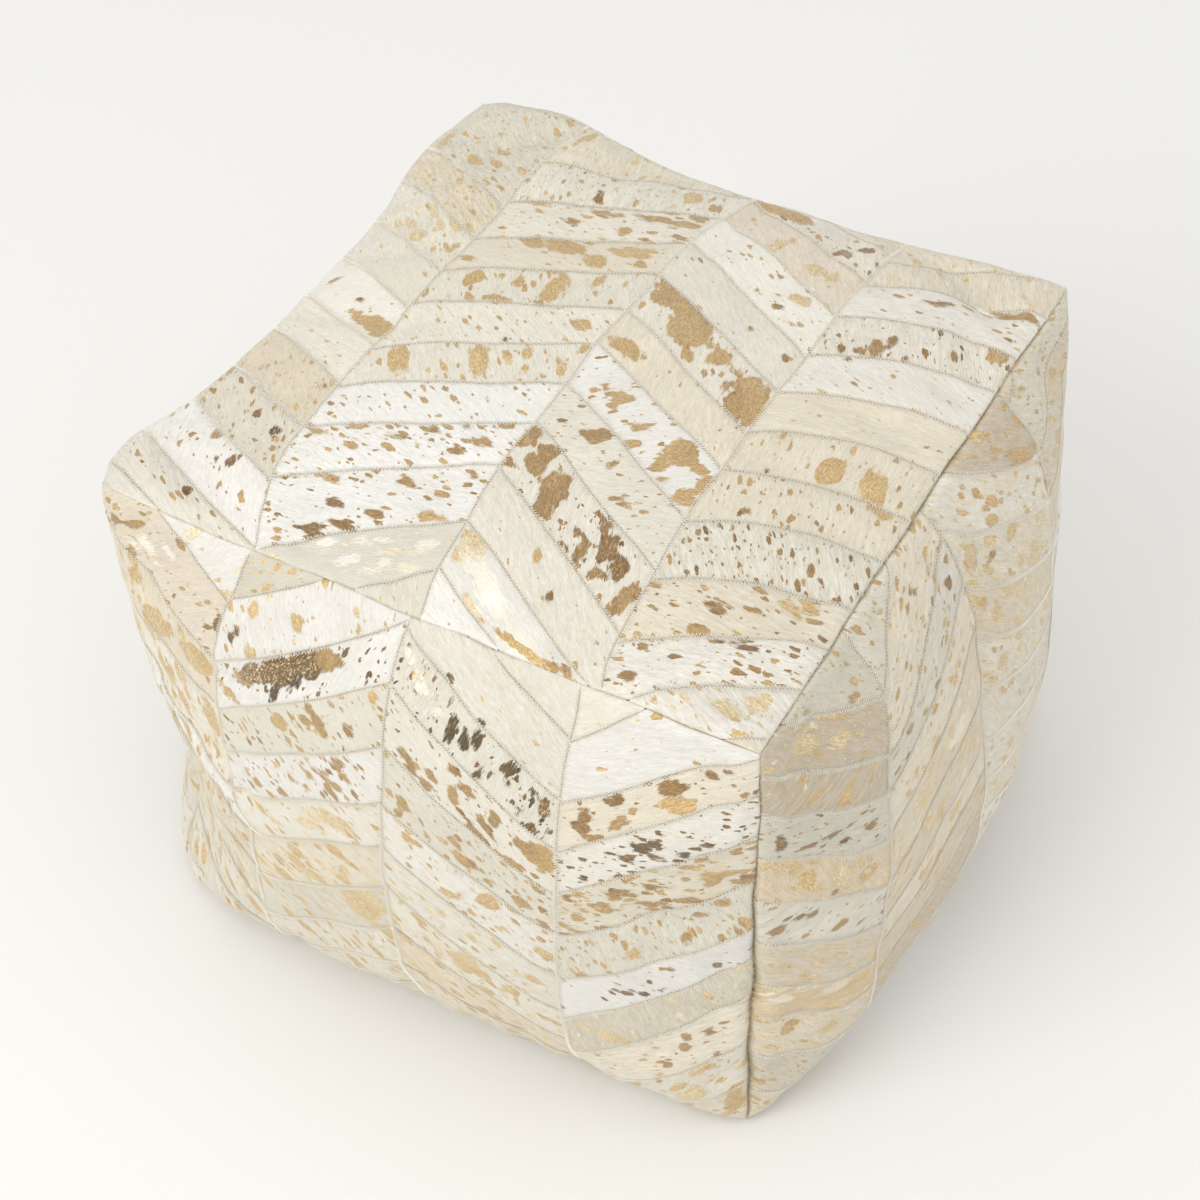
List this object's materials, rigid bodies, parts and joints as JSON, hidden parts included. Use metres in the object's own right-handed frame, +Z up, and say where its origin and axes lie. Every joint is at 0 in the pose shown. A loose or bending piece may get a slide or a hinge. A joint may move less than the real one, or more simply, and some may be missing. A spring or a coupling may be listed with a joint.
{
  "type": "moroccan leather pouf",
  "caption": "Soft cube floor pouf in patchwork hair-on hide with metallic foil splashes, chevron panels, plain base and a zip low on the back.",
  "frame": {"origin": "centre of the foot print on the floor", "axes": "+Z up, -Y the front side, +X the right side; the zip is on the +Y side"},
  "size_m": [0.5829, 0.5571, 0.407],
  "materials": {
    "grey_hide": "short hair on hide, matt with a soft sheen, splashed with metallic foil",
    "ivory_hide": "short hair on hide, matt with a soft sheen, splashed with metallic foil",
    "cream_hide": "short hair on hide, matt with a soft sheen, splashed with metallic foil",
    "sand_hide": "short hair on hide, matt with a soft sheen, splashed with metallic foil",
    "canvas": "plain woven canvas",
    "cotton": "plain white cotton",
    "beads": "loose foam beads",
    "tape": "woven zip tape",
    "coil": "moulded zip coil",
    "brass": "satin"
  },
  "bodies": {
    "pouf": {"top_column_1": "grey_hide", "top_column_2": "ivory_hide", "top_column_3": "cream_hide", "top_column_4": "ivory_hide", "front_column_1": "sand_hide", "front_column_2": "ivory_hide", "front_column_3": "cream_hide", "front_column_4": "grey_hide", "right_column_1": "grey_hide", "right_column_2": "sand_hide", "right_column_3": "ivory_hide", "right_column_4": "cream_hide", "back_column_1": "ivory_hide", "back_column_2": "grey_hide", "back_column_3": "sand_hide", "back_column_4": "cream_hide", "left_column_1": "cream_hide", "left_column_2": "ivory_hide", "left_column_3": "grey_hide", "left_column_4": "sand_hide", "base_panel": "canvas", "liner_bag": "cotton", "bead_filling": "beads", "zip_tape_upper": "tape", "zip_tape_lower": "tape", "zip_coil_upper": "coil", "zip_coil_lower": "coil", "zip_stop_closed_end": "brass", "zip_stop_open_end": "brass", "zip_end_tab_right": "sand_hide", "zip_end_tab_left": "sand_hide"},
    "slider": {"zip_slider": "brass"},
    "pull": {"zip_pull": "brass"}
  },
  "joints": [
    {"name": "zip_slide", "type": "slide", "parent": "pouf", "child": "slider", "axis": [-1, 0, 0], "range_m": [0, 0.37]},
    {"name": "pull_swing", "type": "hinge", "parent": "slider", "child": "pull", "pos_m": [0.188, 0.2276, 0.0135], "axis": [0, 0, -1], "range_deg": [0, 165]}
  ]
}
